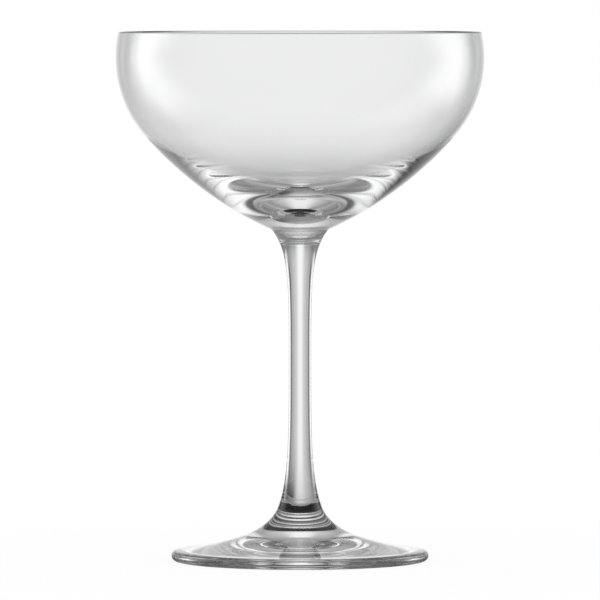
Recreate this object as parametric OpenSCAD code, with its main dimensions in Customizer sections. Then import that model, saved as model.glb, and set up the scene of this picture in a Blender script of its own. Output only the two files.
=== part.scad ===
// Coupe glass: a blown bowl, a drawn stem and a pressed foot, fused end to end.
// Lengths are in millimetres and angles in degrees.
// The glass stands on the plane z = 0, and the z axis is its axis.

/* [Bowl] */
// Diameter at the widest part of the bowl
bowl_d = 101.6; // [90:0.2:115]
// Height of the bowl, from its joint with the stem up to the rim
bowl_h = 54.5; // [46:0.5:65]
// Distance from the rim down to the widest part
rim_drop = 7.25; // [3:0.25:12]
// Radius of the round shoulder above and below the widest part
shoulder_r = 32.5; // [26:0.5:38]
// Angle below the horizontal where the shoulder passes into the flatter belly
belly_turn = 41; // [34:1:48]
// Thickness of the wall at the rim and round the shoulder
wall_t = 1.1; // [0.8:0.1:2]
// Thickness of the glass on the axis, from the joint up to the floor inside
base_t = 6.6; // [4:0.1:10]

/* [Stem] */
// Length of the stem, from the foot up to the bowl
stem_l = 77.2; // [50:0.2:110]
// Diameter at the waist, where the stem is narrowest
waist_d = 6.1; // [5:0.1:9]
// Diameter of the joint between the stem and the bowl
bowl_joint_d = 15.8; // [12:0.2:22]
// Diameter of the joint between the stem and the foot
foot_joint_d = 12.5; // [10:0.1:18]
// Length over which the upper flare falls to about a third
upper_flare_l = 6; // [4:0.25:10]
// Length over which the lower flare falls to about a third
lower_flare_l = 8; // [4:0.25:12]

/* [Foot] */
// Diameter of the foot
foot_d = 71; // [60:0.5:85]
// Height of the foot, from the table up to the stem
foot_h = 14.3; // [10:0.1:20]
// Thickness of the round outer edge
edge_t = 2.9; // [2:0.1:4.5]
// Width of the flat ring that the foot stands on
ring_w = 2; // [1:0.25:4]
// Height of the shallow hollow under the middle of the foot
hollow_h = 2.25; // [1:0.25:5]
// Angle from the vertical at which the top of the foot leaves the stem
sweep_angle = 27; // [15:1:45]
// Angle from the horizontal at which the top of the foot reaches the edge
edge_angle = 7.5; // [2:0.5:15]

/* [Hidden] */
$fn = 128;
// Steps along each arc, flare and sweep of the outlines
arc_steps = 24;
flare_steps = 80;
// Clear glass, slightly grey
glass_colour = [0.90, 0.93, 0.93, 0.4];

// Bowl: the inside leaves the shoulder along its flank and runs level on the axis.
// Pull of the flank and of the floor, as shares of the straight line between the two
flank_pull_share = 0.44;
floor_pull_share = 0.2;
shoulder_centre = [bowl_d / 2 - shoulder_r, bowl_h - rim_drop];
belly_way = [cos(belly_turn), -sin(belly_turn)];
belly_start = shoulder_centre + shoulder_r * belly_way;
joint_edge = [bowl_joint_d / 2, 0];
// The belly is the one arc that touches the shoulder and ends at the joint's edge
belly_chord = belly_start - joint_edge;
belly_r = belly_chord * belly_chord / (2 * belly_chord * belly_way);
belly_centre = belly_start - belly_r * belly_way;
lip_r = wall_t / 2;
lip_angle = asin((rim_drop - lip_r) / (shoulder_r - lip_r));
lip_centre = shoulder_centre + (shoulder_r - lip_r) * [cos(lip_angle), sin(lip_angle)];
flank_start = belly_start - wall_t * belly_way;
flank_way = [-sin(belly_turn), -cos(belly_turn)];
floor_centre = [0, base_t];
floor_span = norm(flank_start - floor_centre);

// Stem
stem_z = foot_h;
bowl_z = stem_z + stem_l;
waist_r = waist_d / 2;

// Foot: pull of the top at the stem and at the edge, as shares of its height and its reach
stem_pull_share = 0.52;
edge_pull_share = 0.58;
foot_r = foot_d / 2;
nose_r = edge_t / 2;
nose_centre = [foot_r - nose_r, nose_r];
top_start = [foot_joint_d / 2, foot_h];
top_end = nose_centre + nose_r * [sin(edge_angle), cos(edge_angle)];
top_reach = top_end[0] - top_start[0];
sweep_way = [sin(sweep_angle), -cos(sweep_angle)];
edge_way = [-cos(edge_angle), sin(edge_angle)];
hollow_r = nose_centre[0] - ring_w;
hollow_dome_r = (hollow_r * hollow_r + hollow_h * hollow_h) / (2 * hollow_h);
hollow_centre = [0, hollow_h - hollow_dome_r];

// Angle of a point seen from a centre
function bearing(centre, point) = atan2(point[1] - centre[1], point[0] - centre[0]);

// Points on an arc, both ends included
function arc(centre, radius, from, to) =
    [for (i = [0:arc_steps])
        let (a = from + (to - from) * i / arc_steps)
        centre + radius * [cos(a), sin(a)]];

// Points on the smooth curve from a to d that leaves towards b and arrives from c
function sweep(a, b, c, d) =
    [for (i = [0:arc_steps])
        let (t = i / arc_steps, s = 1 - t)
        s * s * s * a + 3 * s * s * t * b + 3 * s * t * t * c + t * t * t * d];

// Share of a flare that is left at a distance from its joint: all at the joint, none at the far end
function flare(distance, reach) =
    (exp(-distance / reach) - exp(-stem_l / reach)) / (1 - exp(-stem_l / reach));

// Radius of the stem at a height above the foot
function stem_r(height) =
    waist_r
    + (foot_joint_d / 2 - waist_r) * flare(height, lower_flare_l)
    + (bowl_joint_d / 2 - waist_r) * flare(stem_l - height, upper_flare_l);

module bowl() {
    color(glass_colour)
    translate([0, 0, bowl_z])
    rotate_extrude()
    polygon(concat(
        [[0, 0]],
        arc(belly_centre, belly_r, bearing(belly_centre, joint_edge), -belly_turn),
        arc(shoulder_centre, shoulder_r, -belly_turn, lip_angle),
        arc(lip_centre, lip_r, lip_angle, lip_angle + 180),
        arc(shoulder_centre, shoulder_r - wall_t, lip_angle, -belly_turn),
        sweep(
            flank_start,
            flank_start + flank_pull_share * floor_span * flank_way,
            floor_centre + [floor_pull_share * floor_span, 0],
            floor_centre)));
}

module stem() {
    color(glass_colour)
    translate([0, 0, stem_z])
    rotate_extrude()
    polygon(concat(
        [[0, 0]],
        [for (i = [0:flare_steps])
            let (height = stem_l * i / flare_steps)
            [stem_r(height), height]],
        [[0, stem_l]]));
}

module foot() {
    color(glass_colour)
    rotate_extrude()
    polygon(concat(
        [[0, foot_h]],
        sweep(
            top_start,
            top_start + stem_pull_share * foot_h * sweep_way,
            top_end + edge_pull_share * top_reach * edge_way,
            top_end),
        arc(nose_centre, nose_r, 90 - edge_angle, -90),
        arc(hollow_centre, hollow_dome_r, bearing(hollow_centre, [hollow_r, 0]), 90)));
}

bowl();
stem();
foot();
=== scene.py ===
# %% [markdown]
# # A coupe glass
# The real glass is three gathers of clear glass: a blown bowl, a drawn stem and a pressed foot, fused
# end to end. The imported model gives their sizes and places. This lesson turns each one as a smooth
# form, gives it clear glass, and sets it in a bright studio where its edges show as dark lines.

# %% Load the frame
import math
from itertools import accumulate

import bmesh
import bpy
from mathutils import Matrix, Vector


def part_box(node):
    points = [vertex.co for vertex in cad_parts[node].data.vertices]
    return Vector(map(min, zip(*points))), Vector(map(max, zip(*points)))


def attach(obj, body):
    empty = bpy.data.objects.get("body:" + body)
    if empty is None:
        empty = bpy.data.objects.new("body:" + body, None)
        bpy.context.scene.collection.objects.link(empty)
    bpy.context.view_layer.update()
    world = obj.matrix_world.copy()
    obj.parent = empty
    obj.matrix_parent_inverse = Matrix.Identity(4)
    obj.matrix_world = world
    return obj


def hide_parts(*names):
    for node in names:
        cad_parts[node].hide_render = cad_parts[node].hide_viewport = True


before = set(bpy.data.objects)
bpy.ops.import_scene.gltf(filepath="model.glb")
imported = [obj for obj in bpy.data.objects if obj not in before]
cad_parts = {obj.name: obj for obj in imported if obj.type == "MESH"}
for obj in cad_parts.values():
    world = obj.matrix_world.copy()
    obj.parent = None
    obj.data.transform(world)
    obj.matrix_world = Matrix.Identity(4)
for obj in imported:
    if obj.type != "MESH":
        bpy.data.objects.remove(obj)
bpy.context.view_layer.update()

# %% [markdown]
# ## Sizes
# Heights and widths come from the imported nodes, so that every piece sits where its solid is. A ring of
# a node's own points gives the width of a joint. The few sizes that a box can't tell, such as the wall,
# are written beside the piece that they belong to. All lengths are in metres.

# %% Sizes of the three pieces
bowl_low, bowl_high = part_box("bowl")
stem_low, stem_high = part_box("stem")
foot_low, foot_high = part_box("foot")


def ring_radius(node, height, slack=1e-5):
    """Radius of a node's widest ring of points at a height."""
    points = [v.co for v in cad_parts[node].data.vertices]
    return max(math.hypot(p.x, p.y) for p in points if abs(p.z - height) < slack)


bowl_radius = bowl_high.x
foot_radius = foot_high.x
bowl_joint_radius = ring_radius("stem", stem_high.z)
foot_joint_radius = ring_radius("stem", stem_low.z)

# %% [markdown]
# ## Outlines
# A round piece is one outline turned about the axis. An outline could be traced as a list of points,
# but arcs and smooth sweeps say more with less: each stretch has a centre or two handles, and the
# number of steps can change without a new drawing. A point is a radius and a height.

# %% Arcs and sweeps
arc_steps = 72


def arc(centre, radius, start, end, steps=arc_steps):
    """Points on an arc, both ends included."""
    turns = [start + (end - start) * i / steps for i in range(steps + 1)]
    return [Vector(centre) + radius * Vector((math.cos(a), math.sin(a))) for a in turns]


def sweep(a, b, c, d, steps=arc_steps):
    """Points on a smooth curve from a to d that leaves towards b and arrives from c."""
    shares = [i / steps for i in range(steps + 1)]
    return [(1 - t) ** 3 * a + 3 * (1 - t) ** 2 * t * b + 3 * (1 - t) * t * t * c + t ** 3 * d
            for t in shares]


def bearing(centre, point):
    """Angle of a point seen from a centre."""
    return math.atan2(point.y - centre.y, point.x - centre.x)


# %% [markdown]
# ## The bowl
# The bowl is blown in a mould, so its wall is thin and even round the shoulder, and the glass gathers
# towards the bottom. The outside is two arcs, the rim is a half circle, and the inside follows the
# shoulder and then sweeps down to a level floor.

# %% Outline of the bowl
# From the rim down to the widest part
rim_drop = 0.00725
shoulder_radius = 0.0325
# Angle below the horizontal where the shoulder passes into the belly
belly_turn = math.radians(41)
wall = 0.0011
# Glass on the axis, from the joint up to the floor inside
base = 0.0066
# Pull of the flank and of the floor, as shares of the straight line between the two
flank_pull_share = 0.44
floor_pull_share = 0.2


def bowl_outline():
    """From the axis at the joint up the outside, over the rim and down the inside to the axis."""
    shoulder = Vector((bowl_radius - shoulder_radius, bowl_high.z - rim_drop))
    belly_way = Vector((math.cos(belly_turn), -math.sin(belly_turn)))
    belly_start = shoulder + shoulder_radius * belly_way
    joint_edge = Vector((bowl_joint_radius, bowl_low.z))
    chord = belly_start - joint_edge
    belly_radius = chord.length_squared / (2 * chord.dot(belly_way))
    belly = belly_start - belly_radius * belly_way
    lip = wall / 2
    lip_angle = math.asin((rim_drop - lip) / (shoulder_radius - lip))
    lip_way = Vector((math.cos(lip_angle), math.sin(lip_angle)))
    flank = belly_start - wall * belly_way
    flank_way = Vector((-math.sin(belly_turn), -math.cos(belly_turn)))
    floor = Vector((0, bowl_low.z + base))
    span = (flank - floor).length
    outline = [Vector((0, bowl_low.z))]
    outline += arc(belly, belly_radius, bearing(belly, joint_edge), -belly_turn)
    outline += arc(shoulder, shoulder_radius, -belly_turn, lip_angle)[1:]
    outline += arc(shoulder + (shoulder_radius - lip) * lip_way, lip, lip_angle, lip_angle + math.pi)[1:]
    outline += arc(shoulder, shoulder_radius - wall, lip_angle, -belly_turn)[1:]
    outline += sweep(flank, flank + flank_pull_share * span * flank_way,
                     floor + Vector((floor_pull_share * span, 0)), floor)[1:]
    return outline


bowl_shape = bowl_outline()
print("bowl outline", len(bowl_shape), "points")

# %% [markdown]
# ## The stem
# The stem is drawn out of hot glass, so it thins quickly near each end and is almost straight between.
# Each flare dies away by the same share over each length, which is what an exponential says. Just under
# the bowl, where the joint was worked, three shallow rings are left. A cosine makes them, and the
# outline takes finer steps there.

# %% Outline of the stem
waist_radius = 0.00305
# Lengths over which the flares fall to about a third
upper_flare = 0.006
lower_flare = 0.008
collar_rings = 3
collar_pitch = 0.00105
collar_depth = 5e-5
collar_length = collar_rings * collar_pitch


def flare(distance, reach, length):
    """Share of a flare that is left: all of it at its joint, none at the far end."""
    tail = math.exp(-length / reach)
    return (math.exp(-distance / reach) - tail) / (1 - tail)


def collar_dip(depth_below):
    """How far the rings under the bowl sink in, at a distance below the joint."""
    if depth_below > collar_length:
        return 0.0
    return collar_depth * (1 - math.cos(math.tau * depth_below / collar_pitch)) / 2


def stem_outline(steps=240, collar_steps=72):
    """From the axis at the foot's joint up the outside to the axis at the bowl's joint."""
    length = stem_high.z - stem_low.z
    plain_length = length - collar_length
    heights = [plain_length * i / steps for i in range(steps)]
    heights += [plain_length + collar_length * i / collar_steps for i in range(collar_steps + 1)]
    outline = [Vector((0, stem_low.z))]
    for height in heights:
        radius = waist_radius - collar_dip(length - height)
        radius += (foot_joint_radius - waist_radius) * flare(height, lower_flare, length)
        radius += (bowl_joint_radius - waist_radius) * flare(length - height, upper_flare, length)
        outline.append(Vector((radius, stem_low.z + height)))
    outline.append(Vector((0, stem_high.z)))
    return outline


stem_shape = stem_outline()
print("stem outline", len(stem_shape), "points")

# %% [markdown]
# ## The foot
# The foot is pressed and spun flat while hot. Its top sweeps from the stem to a round edge, and it
# stands on a narrow ring, because the middle of its underside is slightly hollow.

# %% Outline of the foot
edge_thickness = 0.0029
ring_width = 0.002
hollow_height = 0.00225
# The top leaves the stem at an angle from the vertical and meets the edge at one from the horizontal
sweep_angle = math.radians(27)
edge_angle = math.radians(7.5)
# Pull of the top at the stem and at the edge, as shares of its height and its reach
stem_pull_share = 0.52
edge_pull_share = 0.58


def foot_outline():
    """From the axis under the hollow out over the ring and the edge, and up the top to the joint."""
    nose_radius = edge_thickness / 2
    nose = Vector((foot_radius - nose_radius, foot_low.z + nose_radius))
    start = Vector((foot_joint_radius, foot_high.z))
    end = nose + nose_radius * Vector((math.sin(edge_angle), math.cos(edge_angle)))
    sweep_way = Vector((math.sin(sweep_angle), -math.cos(sweep_angle)))
    edge_way = Vector((-math.cos(edge_angle), math.sin(edge_angle)))
    hollow_edge = Vector((nose.x - ring_width, foot_low.z))
    dome_radius = (hollow_edge.x ** 2 + hollow_height ** 2) / (2 * hollow_height)
    dome = Vector((0, foot_low.z + hollow_height - dome_radius))
    outline = [Vector((0, foot_high.z))]
    outline += sweep(start, start + stem_pull_share * (foot_high.z - foot_low.z) * sweep_way,
                     end + edge_pull_share * (end.x - start.x) * edge_way, end)
    outline += arc(nose, nose_radius, math.pi / 2 - edge_angle, -math.pi / 2)[1:]
    outline += arc(dome, dome_radius, bearing(dome, hollow_edge), math.pi / 2)
    return outline[::-1]


foot_shape = foot_outline()
print("foot outline", len(foot_shape), "points")

# %% [markdown]
# ## A lathe in Geometry Nodes
# A Screw modifier or a spin could turn the outlines, but then the ripples of hot-worked glass and the
# joint faces would need steps of their own. Here one node tree does it all: it rolls a grid round
# the axis, reads each row's radius and height from the outline, welds the seam and the poles, sinks
# the skin by a few thousandths of a millimetre, and gives the joint faces their own material.

# %% Helpers that build nodes
def put(tree, kind, inputs=None, **settings):
    """Add a node, set its options, and fill its inputs with values or links."""
    made = tree.nodes.new(kind)
    for name, value in settings.items():
        setattr(made, name, value)
    for name, value in (inputs or {}).items():
        if isinstance(value, bpy.types.NodeSocket):
            tree.links.new(value, made.inputs[name])
        else:
            made.inputs[name].default_value = value
    return made


def maths(tree, operation, *values):
    """A Math node's result."""
    return put(tree, "ShaderNodeMath", dict(enumerate(values)), operation=operation).outputs[0]


def waves(tree, place, seed, width, length):
    """Soft noise whose waves have one size across the axis and another along the third coordinate."""
    axes = put(tree, "ShaderNodeSeparateXYZ", {0: place}).outputs
    stretched = put(tree, "ShaderNodeCombineXYZ", {
        "X": maths(tree, "DIVIDE", axes["X"], width),
        "Y": maths(tree, "DIVIDE", axes["Y"], width),
        "Z": maths(tree, "DIVIDE", axes["Z"], length)})
    noise = put(tree, "ShaderNodeTexNoise",
                {"Vector": stretched.outputs[0], "W": seed, "Scale": 1.0, "Detail": 0.0},
                noise_dimensions="4D")
    return noise.outputs[0]


# %% Rows and columns of the lathe
def named(tree, name, kind):
    """A named attribute's value."""
    return put(tree, "GeometryNodeInputNamedAttribute", {"Name": name}, data_type=kind).outputs[0]


def row_value(tree, outline, row, value, kind):
    """A value of the outline's point that makes this row."""
    sample = put(tree, "GeometryNodeSampleIndex", {"Index": row}, data_type=kind)
    tree.links.new(outline, sample.inputs[0])
    tree.links.new(value, sample.inputs[1])
    return sample.outputs[0]


def kept(tree, geometry, name, value, kind):
    """The geometry with a value stored on its points."""
    store = put(tree, "GeometryNodeStoreNamedAttribute",
                {"Geometry": geometry, "Name": name, "Value": value}, data_type=kind, domain="POINT")
    return store.outputs[0]


# %% The lathe tree
weld_distance = 1e-7


def lathe_inputs(tree):
    """Give the tree its named inputs and its output, and return the inputs' sockets."""
    sockets = {"Outline": "Geometry", "Steps around": "Int", "Ripple height": "Float",
               "Ripple width": "Float", "Ripple length": "Float", "Seed": "Float",
               "Glass": "Material", "Joint": "Material"}
    for name, kind in sockets.items():
        tree.interface.new_socket(name=name, in_out="INPUT", socket_type="NodeSocket" + kind)
    tree.interface.new_socket(name="Piece", in_out="OUTPUT", socket_type="NodeSocketGeometry")
    return tree.nodes.new("NodeGroupInput").outputs


def rolled_grid(tree, given):
    """A grid rolled round the axis, with the depth of its ripples stored on it."""
    outline = given["Outline"]
    rows = put(tree, "GeometryNodeAttributeDomainSize", {"Geometry": outline}).outputs["Point Count"]
    columns = maths(tree, "ADD", given["Steps around"], 1.0)
    grid = put(tree, "GeometryNodeMeshGrid", {"Vertices X": rows, "Vertices Y": columns}).outputs["Mesh"]
    index = tree.nodes.new("GeometryNodeInputIndex").outputs[0]
    row = maths(tree, "FLOOR", maths(tree, "DIVIDE", index, columns))
    share = maths(tree, "DIVIDE", maths(tree, "MODULO", index, columns), given["Steps around"])
    turn = maths(tree, "MULTIPLY", share, math.tau)
    position = tree.nodes.new("GeometryNodeInputPosition").outputs[0]
    point = row_value(tree, outline, row, position, "FLOAT_VECTOR")
    point = put(tree, "ShaderNodeSeparateXYZ", {0: point}).outputs
    across = maths(tree, "MULTIPLY", point["X"], maths(tree, "COSINE", turn))
    deep = maths(tree, "MULTIPLY", point["X"], maths(tree, "SINE", turn))
    along = row_value(tree, outline, row, named(tree, "along", "FLOAT"), "FLOAT")
    free = row_value(tree, outline, row, named(tree, "free", "FLOAT"), "FLOAT")
    joint = row_value(tree, outline, row, named(tree, "joint", "BOOLEAN"), "BOOLEAN")
    unrolled = put(tree, "ShaderNodeCombineXYZ", {"X": across, "Y": deep, "Z": along}).outputs[0]
    ripple = waves(tree, unrolled, given["Seed"], given["Ripple width"], given["Ripple length"])
    sunk = maths(tree, "MULTIPLY", maths(tree, "MULTIPLY", ripple, free), given["Ripple height"])
    marked = kept(tree, kept(tree, grid, "joint", joint, "BOOLEAN"), "sunk", sunk, "FLOAT")
    place = put(tree, "ShaderNodeCombineXYZ", {"X": across, "Y": deep, "Z": point["Z"]}).outputs[0]
    return put(tree, "GeometryNodeSetPosition", {"Geometry": marked, "Position": place}).outputs[0]


def closed_skin(tree, rolled):
    """The rolled grid with its seam and poles welded, its faces outward and its ripples sunk in."""
    welded = put(tree, "GeometryNodeMergeByDistance", {"Geometry": rolled, "Distance": weld_distance})
    outward = put(tree, "GeometryNodeFlipFaces", {"Mesh": welded.outputs[0]})
    inward = maths(tree, "MULTIPLY", named(tree, "sunk", "FLOAT"), -1.0)
    normal = tree.nodes.new("GeometryNodeInputNormal").outputs[0]
    push = put(tree, "ShaderNodeVectorMath", {0: normal, "Scale": inward}, operation="SCALE")
    sunk = put(tree, "GeometryNodeSetPosition", {"Geometry": outward.outputs[0], "Offset": push.outputs[0]})
    return sunk.outputs[0]


def finished_skin(tree, given, closed):
    """Smooth glass, with a crisp edge and a material of its own on each joint face."""
    joint = named(tree, "joint", "BOOLEAN")
    smooth = put(tree, "GeometryNodeSetShadeSmooth", {0: closed, "Shade Smooth": True}, domain="FACE")
    crisp = put(tree, "GeometryNodeSetShadeSmooth",
                {0: smooth.outputs[0], "Selection": joint, "Shade Smooth": False}, domain="EDGE")
    real = put(tree, "GeometryNodeRealizeInstances", {"Geometry": crisp.outputs[0]})
    glass = put(tree, "GeometryNodeSetMaterial", {"Geometry": real.outputs[0], "Material": given["Glass"]})
    both = put(tree, "GeometryNodeSetMaterial",
               {"Geometry": glass.outputs[0], "Selection": joint, "Material": given["Joint"]})
    return both.outputs[0]


def lathe_tree():
    """The whole lathe, from an outline to a finished piece."""
    tree = bpy.data.node_groups.new("glass_lathe", "GeometryNodeTree")
    given = lathe_inputs(tree)
    piece = finished_skin(tree, given, closed_skin(tree, rolled_grid(tree, given)))
    tree.links.new(piece, put(tree, "NodeGroupOutput").inputs["Piece"])
    return tree


lathe = lathe_tree()
socket_of = {s.name: s.identifier for s in lathe.interface.items_tree if s.in_out == "INPUT"}
print("lathe inputs", list(socket_of))

# %% [markdown]
# ## Clear glass
# Glass bends light as it goes in and out, so its look is full transmission with an index of refraction
# of about 1.52. A perfectly even shader would look like plastic, because hot-worked glass keeps a
# skin: fine waves from the mould or the tongs, a faint film where it was handled, and a tint that
# drifts slightly. One node group makes that skin, and each piece asks it for waves of its own size.

# %% The skin of hot-worked glass
film_size = 0.03
film_roughness = 0.008
tint_size = 0.08
clear_tint = (0.997, 0.998, 1.0, 1)
grey_tint = (0.989, 0.99, 0.996, 1)


def blend(tree, first, second, share, kind="FLOAT"):
    """A number or a colour that goes from the first to the second as the share goes from 0 to 1."""
    mix = put(tree, "ShaderNodeMix", {"Factor": share, "A": first, "B": second}, data_type=kind)
    return mix.outputs["Result"]


def skin_group():
    """A tint, a roughness and a height of waves that change over the glass."""
    group = bpy.data.node_groups.new("hot_glass_skin", "ShaderNodeTree")
    for name in ("Wave width", "Wave length", "Seed"):
        group.interface.new_socket(name=name, in_out="INPUT", socket_type="NodeSocketFloat")
    for name, kind in (("Tint", "Color"), ("Roughness", "Float"), ("Height", "Float")):
        group.interface.new_socket(name=name, in_out="OUTPUT", socket_type="NodeSocket" + kind)
    given = group.nodes.new("NodeGroupInput").outputs
    place = group.nodes.new("ShaderNodeTexCoord").outputs["Object"]
    height = waves(group, place, given["Seed"], given["Wave width"], given["Wave length"])
    film = waves(group, place, given["Seed"], film_size, film_size)
    drift = waves(group, place, given["Seed"], tint_size, tint_size)
    out = put(group, "NodeGroupOutput").inputs
    group.links.new(blend(group, clear_tint, grey_tint, drift, "RGBA"), out["Tint"])
    group.links.new(maths(group, "MULTIPLY", film, film_roughness), out["Roughness"])
    group.links.new(height, out["Height"])
    return group


hot_glass_skin = skin_group()
print("skin puts out", [s.name for s in hot_glass_skin.interface.items_tree if s.in_out == "OUTPUT"])

# %% [markdown]
# The joint faces lie inside fused glass, where there is no surface to see, so their material is fully
# see-through. Light that is reflected round and round inside the foot's thick edge would shine on for
# ever, while in real glass it is lost little by little. The foot's glass is painted almost black for light
# that has been reflected more often than most. This painted shade, far darker than real glass loses,
# makes the dark line along the edge.

# %% Glass and joint materials
glass_index = 1.52
wave_height = 6e-6
# Half a step above the last number of reflections that passes freely
guided_from = 8.5
# Colour painted on light reflected more often than that: a painted shade for the foot's dark edge line
guided_shade_colour = (0.1, 0.1, 0.1, 1)


def glass_material(name, wave_width, wave_length, seed):
    """Clear glass with fine waves of a given size in its skin."""
    material = bpy.data.materials.new(name)
    material.use_nodes = True
    tree = material.node_tree
    made = put(tree, "ShaderNodeGroup", node_tree=hot_glass_skin)
    for socket, value in (("Wave width", wave_width), ("Wave length", wave_length), ("Seed", seed)):
        made.inputs[socket].default_value = value
    bump = put(tree, "ShaderNodeBump", {"Height": made.outputs["Height"], "Distance": wave_height})
    shader = tree.nodes["Principled BSDF"]
    tree.links.new(made.outputs["Tint"], shader.inputs["Base Color"])
    tree.links.new(made.outputs["Roughness"], shader.inputs["Roughness"])
    tree.links.new(bump.outputs["Normal"], shader.inputs["Normal"])
    shader.inputs["IOR"].default_value = glass_index
    shader.inputs["Transmission Weight"].default_value = 1.0
    return material


def paint_guided_shade(material):
    """Paint glass almost black for light that was reflected round and round inside it: a painted shade."""
    tree = material.node_tree
    colour = tree.nodes["Principled BSDF"].inputs["Base Color"]
    reflections = put(tree, "ShaderNodeLightPath").outputs["Glossy Depth"]
    guided = maths(tree, "GREATER_THAN", reflections, guided_from)
    tint = colour.links[0].from_socket
    tree.links.new(blend(tree, tint, guided_shade_colour, guided, "RGBA"), colour)


def joint_material(name):
    """Nothing to see: inside a fused joint the glass goes on without a surface."""
    material = bpy.data.materials.new(name)
    material.use_nodes = True
    shader = material.node_tree.nodes["Principled BSDF"]
    shader.inputs["Alpha"].default_value = 0.0
    return material


blown_glass = glass_material("blown_glass", wave_width=0.02, wave_length=0.004, seed=1.0)
drawn_glass = glass_material("drawn_glass", wave_width=0.0015, wave_length=0.02, seed=2.0)
pressed_glass = glass_material("pressed_glass", wave_width=0.015, wave_length=0.003, seed=3.0)
# The foot's glass gets the painted shade that makes the dark line along its edge
paint_guided_shade(pressed_glass)
fused_joint = joint_material("fused_joint")
print("materials", blown_glass.name, drawn_glass.name, pressed_glass.name, fused_joint.name)

# %% [markdown]
# ## Turn the pieces
# The bowl and the foot were turned while hot, so their ripples run round the axis like the grooves of
# a record. The stem was pulled, so its ripples run along it. Ripples only sink into the skin, and they
# die away near a joint, so that every piece stays inside its solid and meets its neighbour.

# %% Turning a piece
steps_around = 256
ripple_fade = 0.006
cubic_cm = 1e-6


def outline_mesh(name, outline, joint_heights):
    """An outline as a chain of points that carry their joint, their freedom and their distance along it."""
    chain = [(i, i + 1) for i in range(len(outline) - 1)]
    mesh = bpy.data.meshes.new(name)
    mesh.from_pydata([(p.x, 0, p.y) for p in outline], chain, [])
    gaps = [min(abs(p.y - height) for height in joint_heights) for p in outline]
    steps = [(outline[b] - outline[a]).length for a, b in chain]
    values = {"joint": ("BOOLEAN", [gap < weld_distance for gap in gaps]),
              "free": ("FLOAT", [min(1.0, gap / ripple_fade) for gap in gaps]),
              "along": ("FLOAT", list(accumulate(steps, initial=0.0)))}
    for key, (kind, numbers) in values.items():
        mesh.attributes.new(key, kind, "POINT").data.foreach_set("value", numbers)
    return mesh


def report(piece):
    """Print a piece's faces, open edges and volume."""
    check = bmesh.new()
    check.from_mesh(piece.data)
    open_edges = sum(1 for edge in check.edges if not edge.is_manifold)
    volume = check.calc_volume(signed=True) / cubic_cm
    print(piece.name, len(check.faces), "faces,", open_edges, "open edges,", round(volume, 3), "cubic cm")
    check.free()


def turned(name, outline, joint_heights, **settings):
    """Turn an outline on the lathe, and return the finished piece."""
    blank = bpy.data.objects.new(name + "_outline", outline_mesh(name + "_outline", outline, joint_heights))
    bpy.context.scene.collection.objects.link(blank)
    modifier = blank.modifiers.new("lathe", "NODES")
    modifier.node_group = lathe
    modifier[socket_of["Steps around"]] = steps_around
    for key, value in settings.items():
        modifier[socket_of[key.replace("_", " ").capitalize()]] = value
    graph = bpy.context.evaluated_depsgraph_get()
    finished = bpy.data.meshes.new_from_object(blank.evaluated_get(graph))
    finished.name = name
    # The grid leaves an empty first slot
    finished.materials.pop(index=0)
    bpy.data.objects.remove(blank)
    piece = bpy.data.objects.new(name, finished)
    bpy.context.scene.collection.objects.link(piece)
    report(piece)
    return piece


# %% The three pieces
bowl_piece = turned(
    "blown_bowl", bowl_shape, [bowl_low.z], glass=blown_glass, joint=fused_joint,
    ripple_height=8e-6, ripple_width=0.03, ripple_length=0.008, seed=1.0)
stem_piece = turned(
    "drawn_stem", stem_shape, [stem_low.z, stem_high.z], glass=drawn_glass, joint=fused_joint,
    ripple_height=6e-6, ripple_width=0.003, ripple_length=0.03, seed=2.0)
foot_piece = turned(
    "pressed_foot", foot_shape, [foot_high.z], glass=pressed_glass, joint=fused_joint,
    ripple_height=2e-6, ripple_width=0.03, ripple_length=0.004, seed=3.0)

for piece, node in ((bowl_piece, "bowl"), (stem_piece, "stem"), (foot_piece, "foot")):
    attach(piece, "root")
    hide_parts(node)

# %% [markdown]
# ## Camera
# The photograph was taken from about two metres, a little above the rim. A long lens keeps the rim and
# the foot as narrow ellipses.

# %% Camera
camera_distance = 2.09
camera_height = 0.159
aim_height = 0.072
lens_mm = 455
far_clip = 100

lens = bpy.data.cameras.new("camera")
lens.lens = lens_mm
lens.clip_end = far_clip
camera = bpy.data.objects.new("camera", lens)
bpy.context.scene.collection.objects.link(camera)
camera.location = (0, -camera_distance, camera_height)
camera.rotation_euler = (Vector((0, 0, aim_height)) - camera.location).to_track_quat("-Z", "Y").to_euler()
bpy.context.scene.camera = camera
print("camera at", tuple(camera.location), "with a lens of", lens_mm, "mm")

# %% [markdown]
# ## Studio
# Clear glass has no colour of its own, so all that shows in it is the room round it. The room here is a
# pale wall with a bright panel straight behind the glass, two soft boxes at its sides, a dark flag at the
# inner edge of each box, a dim table and a dark room in front. A world shader holds them all, because
# its soft edges can be moved one by one. Each edge is an angle in degrees: sideways from straight behind
# the glass, upright from the horizon. A strength of 1 is white.

# %% Soft edges
def rise(tree, value, start, end):
    """A soft step: 0 before the start, 1 past the end; the end may be below the start."""
    step = put(tree, "ShaderNodeMapRange", {"Value": value, "From Min": start, "From Max": end},
               interpolation_type="SMOOTHSTEP")
    return step.outputs[0]


def window(tree, value, start, full, still_full, end):
    """A soft window: 0 before the start and past the end, 1 in the middle."""
    return maths(tree, "MULTIPLY", rise(tree, value, start, full), rise(tree, value, end, still_full))


def edges(tree, value, limits):
    """A soft step for two limits, a soft window for four, and 1 everywhere for none."""
    if not limits:
        return 1.0
    return rise(tree, value, *limits) if len(limits) == 2 else window(tree, value, *limits)


def lit(tree, level, light, sideways, height):
    """A level with one more light over it, inside the light's soft edges."""
    across = edges(tree, sideways, light.get("sideways"))
    upright = edges(tree, height, light.get("upright"))
    return blend(tree, level, light["strength"], maths(tree, "MULTIPLY", across, upright))


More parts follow.
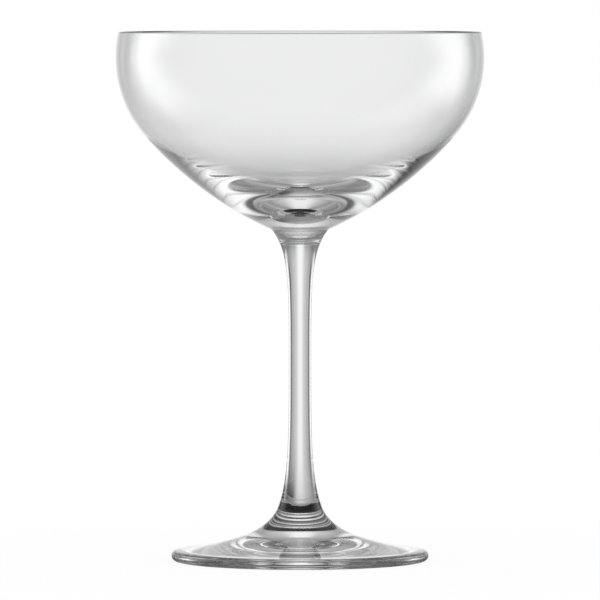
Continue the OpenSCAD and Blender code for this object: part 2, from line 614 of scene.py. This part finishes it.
def leaned(tree, sideways, height, above, below):
    """A sideways angle less a share of the height, one share above the horizon and another below it."""
    up = maths(tree, "MULTIPLY", maths(tree, "MAXIMUM", height, 0.0), above)
    down = maths(tree, "MULTIPLY", maths(tree, "MINIMUM", height, 0.0), -below)
    return maths(tree, "SUBTRACT", sideways, maths(tree, "ADD", up, down))


# %% [markdown]
# The lights lie over each other in order, so a later one hides an earlier one. The soft boxes lean with
# the height, as boxes on stands do, and they make the white glow inside the bowl's sides and the white
# strips along the stem. The flags and the low card make the dark streaks along the bowl's lower edge.

# %% Lights of the studio
room_strength = 0.013
front = dict(strength=0.21, sideways=(79, 116))
ceiling = dict(strength=0.24, upright=(34, 42))
back_wall = dict(strength=0.89, sideways=(72.6, -15.8), upright=(71, 0))
panel = dict(strength=0.99, sideways=(12.8, 2.4), upright=(-38.8, 2.9, 27.7, 28.4))
panel_centre = -0.5
table = dict(sideways=(60, 35), upright=(4.5, -71))
table_left_strength = 0.254
table_right_strength = 0.157
table_turn = (-12, 12)
left_box = dict(strength=1.2, lean=(0.54, 0.61),
                sideways=(23.5, 58.8, 64, 90.4), upright=(-46.9, 0, 11, 81.5))
right_box = dict(strength=1.25, lean=(0.33, 0.11),
                 sideways=(27.2, 56, 57, 107.6), upright=(-30.8, -12.5, 25.5, 51.6))
flags = dict(strength=0.078, sideways=(34, 37.6, 42.4, 51.8), upright=(-31, 2, 4.5, 21))
low_card = dict(strength=0.063, sideways=(5, 20.7, 39, 58.2), upright=(-3.6, -25.9))
underneath = dict(strength=0.29, upright=(-21, -72.5))


def backdrop(tree, right, aside, height):
    """The room, its front and ceiling, and the wall with its panel."""
    level = lit(tree, room_strength, front, aside, height)
    level = lit(tree, level, ceiling, aside, height)
    level = lit(tree, level, back_wall, aside, height)
    off_centre = maths(tree, "ABSOLUTE", maths(tree, "SUBTRACT", right, panel_centre))
    return lit(tree, level, panel, off_centre, height)


def studio_level(tree, right, aside, height):
    """The strength of all the lights in one direction."""
    level = backdrop(tree, right, aside, height)
    table_share = rise(tree, right, *table_turn)
    table_strength = blend(tree, table_left_strength, table_right_strength, table_share)
    level = lit(tree, level, dict(table, strength=table_strength), aside, height)
    left = maths(tree, "MULTIPLY", right, -1.0)
    level = lit(tree, level, left_box, leaned(tree, left, height, *left_box["lean"]), height)
    level = lit(tree, level, right_box, leaned(tree, right, height, *right_box["lean"]), height)
    level = lit(tree, level, flags, aside, height)
    level = lit(tree, level, low_card, right, height)
    return lit(tree, level, underneath, aside, height)


# %% [markdown]
# From the photograph's side the lights stand where the glass bends the view to. From any other side the
# view runs straight through the glass into the dark room or down to the table, and the glass would look
# smoked. So light that comes straight through, without one reflection on its way, shows a pale studio
# there. The stem and the joint keep their dark lines: they bend light without reflecting it, level to
# the sides or steeply down.

# %% Light that comes straight through
pale_strength = 0.95
pale_behind = (100, 125)
pale_sideways = (65, 90)
level_view = (5, 10)
pale_below = (-25, -45)
steep_view = (-54, -62)
steep_sideways = (60, 30)
# Half a step above the counts that they stand for: no reflection, and the two skins of one wall
no_reflection = 0.5
one_wall = 2.5


def straight_through(tree, path):
    """1 for light that was not reflected on its way."""
    return maths(tree, "LESS_THAN", path["Glossy Depth"], no_reflection)


def pale_mask(tree, path, aside, height):
    """Where light that comes straight through shows the pale studio."""
    two_walls = maths(tree, "GREATER_THAN", path["Transmission Depth"], one_wall)
    off_level = rise(tree, maths(tree, "ABSOLUTE", height), *level_view)
    clear_view = maths(tree, "MAXIMUM", two_walls, off_level)
    sides = maths(tree, "MULTIPLY", rise(tree, aside, *pale_sideways), clear_view)
    steep = maths(tree, "MULTIPLY", rise(tree, height, *steep_view), rise(tree, aside, *steep_sideways))
    not_dark = maths(tree, "SUBTRACT", 1.0, maths(tree, "MAXIMUM", steep, two_walls))
    below = maths(tree, "MULTIPLY", rise(tree, height, *pale_below), not_dark)
    around = maths(tree, "MAXIMUM", maths(tree, "MAXIMUM", sides, below), rise(tree, aside, *pale_behind))
    return maths(tree, "MULTIPLY", around, straight_through(tree, path))


# %% World
white = (1, 1, 1, 1)


def world_light():
    """The studio as the glass sees it, and plain white for the camera and the floor's paint."""
    world = bpy.data.worlds.new("studio")
    world.use_nodes = True
    tree = world.node_tree
    tree.nodes.clear()
    direction = tree.nodes.new("ShaderNodeTexCoord").outputs["Generated"]
    way = put(tree, "ShaderNodeSeparateXYZ", {0: direction}).outputs
    right = maths(tree, "DEGREES", maths(tree, "ARCTAN2", way["X"], way["Y"]))
    aside = maths(tree, "ABSOLUTE", right)
    height = maths(tree, "DEGREES", maths(tree, "ARCSINE", way["Z"]))
    path = tree.nodes.new("ShaderNodeLightPath").outputs
    level = studio_level(tree, right, aside, height)
    level = blend(tree, level, pale_strength, pale_mask(tree, path, aside, height))
    plain = maths(tree, "MAXIMUM", path["Is Camera Ray"], path["Is Diffuse Ray"])
    seen = blend(tree, level, 1.0, plain)
    shine = put(tree, "ShaderNodeBackground", {"Color": white, "Strength": seen})
    tree.links.new(shine.outputs[0], put(tree, "ShaderNodeOutputWorld").inputs["Surface"])
    return world


bpy.context.scene.world = world_light()
print("world", len(bpy.context.scene.world.node_tree.nodes), "nodes")

# %% [markdown]
# ## Floor
# The floor is a pale disc just under the foot. The camera sees it almost white, with a little of the
# glass's shadow in its paint, and it fades into the white world before its edge. Light that the glass
# reflects down meets a floor that glows at set strengths instead of being lit. There is a painted shade,
# black, under the foot and in front of it, a dim glow close behind it, and further out nothing but the
# world.

# %% Floor
floor_radius = 0.33
floor_segments = 128
floor_gap = 5e-5
floor_paint = (0.95, 0.95, 0.95, 1)
glow_near = 0.9
glow_near_radius = 2 * foot_radius
glow_full_radius = 0.6 * floor_radius
# Painted shade: the floor's glow under the foot and in front of it, and the dim glow behind it
shade_strength = 0.002
shade_radius = 0.0395
shade_edge = 5e-5
in_front_strength = 0.0
behind_strength = 0.245
behind_from = (-0.0217, -0.0114)
fade_in_front = (0.048, 0.1318)
fade_behind = (-0.0104, 0.1058)
fade_least = (0.022, 0.04)


def pale_floor(tree, out):
    """What the camera sees: a white glow with some paint in it near the foot."""
    paint = put(tree, "ShaderNodeBsdfDiffuse", {"Color": floor_paint})
    glow = put(tree, "ShaderNodeEmission", {"Color": white})
    share = blend(tree, glow_near, 1.0, rise(tree, out, glow_near_radius, glow_full_radius))
    return put(tree, "ShaderNodeMixShader", {0: share, 1: paint.outputs[0], 2: glow.outputs[0]})


def dim_floor(tree, path, place, out):
    """What the glass sees: a glow with a painted shade under the foot, see-through further out and to
    straight light.
    """
    behind = rise(tree, put(tree, "ShaderNodeSeparateXYZ", {0: place}).outputs["Y"], *behind_from)
    near = blend(tree, in_front_strength, behind_strength, behind)
    level = blend(tree, shade_strength, near, rise(tree, out, shade_radius, shade_radius + shade_edge))
    shade = put(tree, "ShaderNodeEmission", {"Color": white, "Strength": level})
    clear = put(tree, "ShaderNodeBsdfTransparent")
    fade = blend(tree, rise(tree, out, *fade_in_front), rise(tree, out, *fade_behind), behind)
    fade = maths(tree, "MULTIPLY", fade, rise(tree, out, *fade_least))
    fade = maths(tree, "MAXIMUM", fade, straight_through(tree, path))
    return put(tree, "ShaderNodeMixShader", {0: fade, 1: shade.outputs[0], 2: clear.outputs[0]})


def floor_material():
    """The pale floor for the camera, and the dim one for everything else."""
    material = bpy.data.materials.new("pale_floor")
    material.use_nodes = True
    tree = material.node_tree
    tree.nodes.clear()
    place = tree.nodes.new("ShaderNodeTexCoord").outputs["Object"]
    out = put(tree, "ShaderNodeVectorMath", {0: place}, operation="LENGTH").outputs["Value"]
    path = tree.nodes.new("ShaderNodeLightPath").outputs
    dim = dim_floor(tree, path, place, out).outputs[0]
    pale = pale_floor(tree, out).outputs[0]
    both = put(tree, "ShaderNodeMixShader", {0: path["Is Camera Ray"], 1: dim, 2: pale})
    tree.links.new(both.outputs[0], put(tree, "ShaderNodeOutputMaterial").inputs["Surface"])
    return material


def floor_piece():
    """A disc on the stage, just below the foot."""
    mesh = bpy.data.meshes.new("floor")
    shape = bmesh.new()
    bmesh.ops.create_circle(shape, cap_ends=True, radius=floor_radius, segments=floor_segments)
    shape.to_mesh(mesh)
    shape.free()
    mesh.materials.append(floor_material())
    floor = bpy.data.objects.new("floor", mesh)
    floor.location.z = -floor_gap
    bpy.context.scene.collection.objects.link(floor)
    return floor


print("floor", tuple(floor_piece().dimensions))

# %% [markdown]
# ## Light paths and colour
# Light runs a long way round inside the wall of the bowl before it leaves again. With few bounces those
# paths end in black dashes, so every limit is high. The view transform is the plain one, so white stays
# white.

# %% Light paths and colour
bounces = 64
scene = bpy.context.scene
scene.view_settings.view_transform = "Standard"
scene.cycles.max_bounces = bounces
scene.cycles.transmission_bounces = bounces
scene.cycles.glossy_bounces = bounces
scene.cycles.transparent_max_bounces = bounces
print("light may bounce", bounces, "times")
